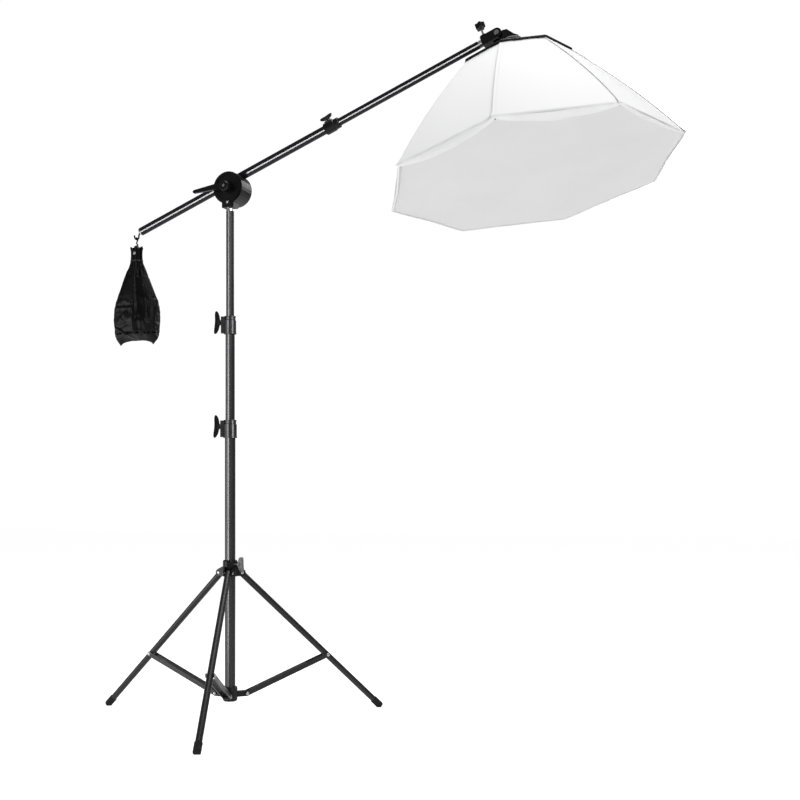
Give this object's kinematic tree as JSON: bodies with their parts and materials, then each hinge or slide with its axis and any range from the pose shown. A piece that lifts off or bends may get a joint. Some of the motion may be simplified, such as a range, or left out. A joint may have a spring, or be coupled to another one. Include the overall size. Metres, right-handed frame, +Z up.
{
  "type": "octagonal softbox on a boom stand",
  "caption": "White octagonal softbox on a telescoping boom arm, carried by a folding light stand and balanced by a hanging sandbag.",
  "frame": {"origin": "on the floor under the middle of the whole object as it stands in its rest pose", "axes": "+Z up; +X along the boom seen from above, towards the softbox; +Y away from the side with the pivot lever"},
  "size_m": [1.4731, 0.7137, 1.5978],
  "materials": {
    "satin_dark_grey": "satin",
    "gloss_black_tube": "gloss",
    "black_plastic": "satin",
    "grey_plastic": "satin",
    "chrome_plate": "polished",
    "zinc_steel": "satin",
    "black_rubber": "matte",
    "white_cloth": "matte",
    "diffusion_cloth": "matte",
    "black_nylon": "matte",
    "sand": "matte",
    "bulb_plastic": "satin",
    "bulb_cap_metal": "satin"
  },
  "bodies": {
    "stand_base": {"base_hub": "black_plastic", "brace_pin_1": "zinc_steel", "brace_pin_2": "zinc_steel", "brace_pin_3": "zinc_steel", "lower_column": "satin_dark_grey", "lower_clamp": "black_plastic"},
    "leg_collar": {"leg_hub": "black_plastic", "leg_pin_1": "zinc_steel", "leg_pin_2": "zinc_steel", "leg_pin_3": "zinc_steel"},
    "collar_knob": {"hub_knob": "grey_plastic"},
    "leg_1_body": {"leg_1": "satin_dark_grey", "leg_foot_1": "black_rubber"},
    "leg_2_body": {"leg_2": "satin_dark_grey", "leg_foot_2": "black_rubber"},
    "leg_3_body": {"leg_3": "satin_dark_grey", "leg_foot_3": "black_rubber"},
    "brace_1_body": {"brace_1": "satin_dark_grey"},
    "brace_2_body": {"brace_2": "satin_dark_grey"},
    "brace_3_body": {"brace_3": "satin_dark_grey"},
    "lower_knob": {"lower_clamp_knob": "black_plastic"},
    "mid_section": {"mid_column": "satin_dark_grey", "upper_clamp": "black_plastic"},
    "upper_knob": {"upper_clamp_knob": "black_plastic"},
    "top_section": {"top_column": "satin_dark_grey", "column_spigot": "chrome_plate"},
    "swivel": {"pivot_bracket": "black_plastic"},
    "swivel_screw": {"socket_screw": "chrome_plate"},
    "tilt_lever": {"pivot_lever": "black_plastic"},
    "boom_grip": {"boom_jaw_near": "black_plastic", "boom_jaw_far": "black_plastic", "pivot_bolt": "zinc_steel"},
    "boom_outer": {"boom_outer_tube": "gloss_black_tube", "boom_lock": "black_plastic", "tail_plug": "chrome_plate", "tail_hook": "gloss_black_tube"},
    "boom_knob": {"boom_lock_knob": "black_plastic"},
    "boom_inner": {"boom_inner_tube": "gloss_black_tube", "boom_stud": "chrome_plate"},
    "head": {"head_socket": "black_plastic"},
    "head_screw": {"thumb_screw": "chrome_plate", "thumb_knob": "black_plastic"},
    "softbox": {"tilt_fork": "black_plastic", "hinge_bolt": "zinc_steel", "lamp_holder": "black_plastic", "back_plate": "black_plastic", "lamp_socket": "black_plastic", "canopy": "white_cloth", "diffuser": "diffusion_cloth", "rib_frame": "zinc_steel"},
    "bulb": {"bulb_cap": "bulb_cap_metal", "bulb_globe": "bulb_plastic"},
    "bag_link": {"s_hook": "gloss_black_tube"},
    "bag": {"bag_ring": "zinc_steel", "sandbag": "black_nylon", "sand_fill": "sand"}
  },
  "joints": [
    {"name": "leg_fold", "type": "slide", "parent": "stand_base", "child": "leg_collar", "axis": [0, 0, 1], "range_m": [0, 0.2426]},
    {"name": "collar_knob_turn", "type": "hinge", "parent": "leg_collar", "child": "collar_knob", "pos_m": [-0.3094, 0.02651, 0.373], "axis": [0.9806, -0.1959, 0], "range_deg": [0, 180]},
    {"name": "leg_1_swing", "type": "hinge", "parent": "leg_collar", "child": "leg_1_body", "pos_m": [-0.31708, 0.05188, 0.353], "axis": [-0.7513, 0.66, 0], "range_deg": [0, 41.1]},
    {"name": "leg_2_swing", "type": "hinge", "parent": "leg_collar", "child": "leg_2_body", "pos_m": [-0.36138, 0.03689, 0.353], "axis": [-0.1959, -0.9806, 0], "range_deg": [0, 41.1]},
    {"name": "leg_3_swing", "type": "hinge", "parent": "leg_collar", "child": "leg_3_body", "pos_m": [-0.32624, 0.00603, 0.353], "axis": [0.9472, 0.3206, 0], "range_deg": [0, 41.1]},
    {"name": "brace_1_swing", "type": "hinge", "parent": "stand_base", "child": "brace_1_body", "pos_m": [-0.30784, 0.0624, 0.062], "axis": [0.7513, -0.66, 0], "range_deg": [0, 64.6]},
    {"name": "brace_2_swing", "type": "hinge", "parent": "stand_base", "child": "brace_2_body", "pos_m": [-0.37511, 0.03963, 0.062], "axis": [0.1959, 0.9806, 0], "range_deg": [0, 64.6]},
    {"name": "brace_3_swing", "type": "hinge", "parent": "stand_base", "child": "brace_3_body", "pos_m": [-0.32175, -0.00724, 0.062], "axis": [-0.9472, -0.3206, 0], "range_deg": [0, 64.6]},
    {"name": "lower_knob_turn", "type": "hinge", "parent": "stand_base", "child": "lower_knob", "pos_m": [-0.36139, 0.01752, 0.702], "axis": [-0.8829, -0.4695, 0], "range_deg": [0, 180]},
    {"name": "mid_section_slide", "type": "slide", "parent": "stand_base", "child": "mid_section", "axis": [0, 0, -1], "range_m": [-0.26, 0.185]},
    {"name": "upper_knob_turn", "type": "hinge", "parent": "mid_section", "child": "upper_knob", "pos_m": [-0.36139, 0.01752, 0.95], "axis": [-0.8829, -0.4695, 0], "range_deg": [0, 180]},
    {"name": "top_section_slide", "type": "slide", "parent": "mid_section", "child": "top_section", "axis": [0, 0, -1], "range_m": [-0.25, 0.24]},
    {"name": "boom_swivel", "type": "hinge", "parent": "top_section", "child": "swivel", "pos_m": [-0.3349, 0.0316, 1.2712], "axis": [0, 0, 1], "continuous": true},
    {"name": "socket_screw_turn", "type": "hinge", "parent": "swivel", "child": "swivel_screw", "pos_m": [-0.3349, 0.0196, 1.2362], "axis": [0, -1, 0], "range_deg": [0, 180]},
    {"name": "lever_turn", "type": "hinge", "parent": "swivel", "child": "tilt_lever", "pos_m": [-0.3349, 0.0158, 1.2712], "axis": [0, -1, 0], "range_deg": [0, 170]},
    {"name": "boom_tilt", "type": "hinge", "parent": "swivel", "child": "boom_grip", "pos_m": [-0.3349, 0.0576, 1.2712], "axis": [0, -1, 0], "range_deg": [-50, 30]},
    {"name": "boom_slide", "type": "slide", "parent": "boom_grip", "child": "boom_outer", "axis": [-0.9278, 0, -0.373], "range_m": [-0.12, 0.22]},
    {"name": "boom_knob_turn", "type": "hinge", "parent": "boom_outer", "child": "boom_knob", "pos_m": [-0.09121, 0.04703, 1.42107], "axis": [-0.338, -0.4226, 0.8409], "range_deg": [0, 180]},
    {"name": "boom_extend", "type": "slide", "parent": "boom_outer", "child": "boom_inner", "axis": [-0.9278, 0, -0.373], "range_m": [-0.07, 0.32]},
    {"name": "head_roll", "type": "hinge", "parent": "boom_inner", "child": "head", "pos_m": [0.28698, 0.0576, 1.54868], "axis": [0.9278, 0, 0.373], "range_deg": [-90, 90]},
    {"name": "thumb_screw_turn", "type": "hinge", "parent": "head", "child": "head_screw", "pos_m": [0.28372, 0.06021, 1.57958], "axis": [-0.3716, 0.0872, 0.9243], "range_deg": [0, 180]},
    {"name": "softbox_tilt", "type": "hinge", "parent": "head", "child": "softbox", "pos_m": [0.3227, 0.0576, 1.56304], "axis": [-0.0325, -0.9962, 0.0809], "range_deg": [-20, 85]},
    {"name": "bulb_turn", "type": "hinge", "parent": "softbox", "child": "bulb", "pos_m": [0.37499, 0.04587, 1.4395], "axis": [0.1808, -0.0854, -0.9798], "range_deg": [0, 180]},
    {"name": "bag_link_hang", "type": "hinge", "parent": "boom_outer", "child": "bag_link", "pos_m": [-0.6109, 0.0576, 1.1805], "axis": [0, -1, 0], "range_deg": [-31, 51]},
    {"name": "bag_swing", "type": "hinge", "parent": "bag_link", "child": "bag", "pos_m": [-0.6109, 0.0576, 1.1554], "axis": [0, 1, 0], "range_deg": [-20, 20]}
  ],
  "couplings": [
    {"joint": "leg_1_swing", "follows": "leg_fold", "rad_per_m": 2.9552},
    {"joint": "leg_2_swing", "follows": "leg_fold", "rad_per_m": 2.9552},
    {"joint": "leg_3_swing", "follows": "leg_fold", "rad_per_m": 2.9552},
    {"joint": "brace_1_swing", "follows": "leg_fold", "rad_per_m": 4.6449},
    {"joint": "brace_2_swing", "follows": "leg_fold", "rad_per_m": 4.6449},
    {"joint": "brace_3_swing", "follows": "leg_fold", "rad_per_m": 4.6449},
    {"joint": "bag_link_hang", "follows": "boom_tilt", "ratio": -1}
  ]
}
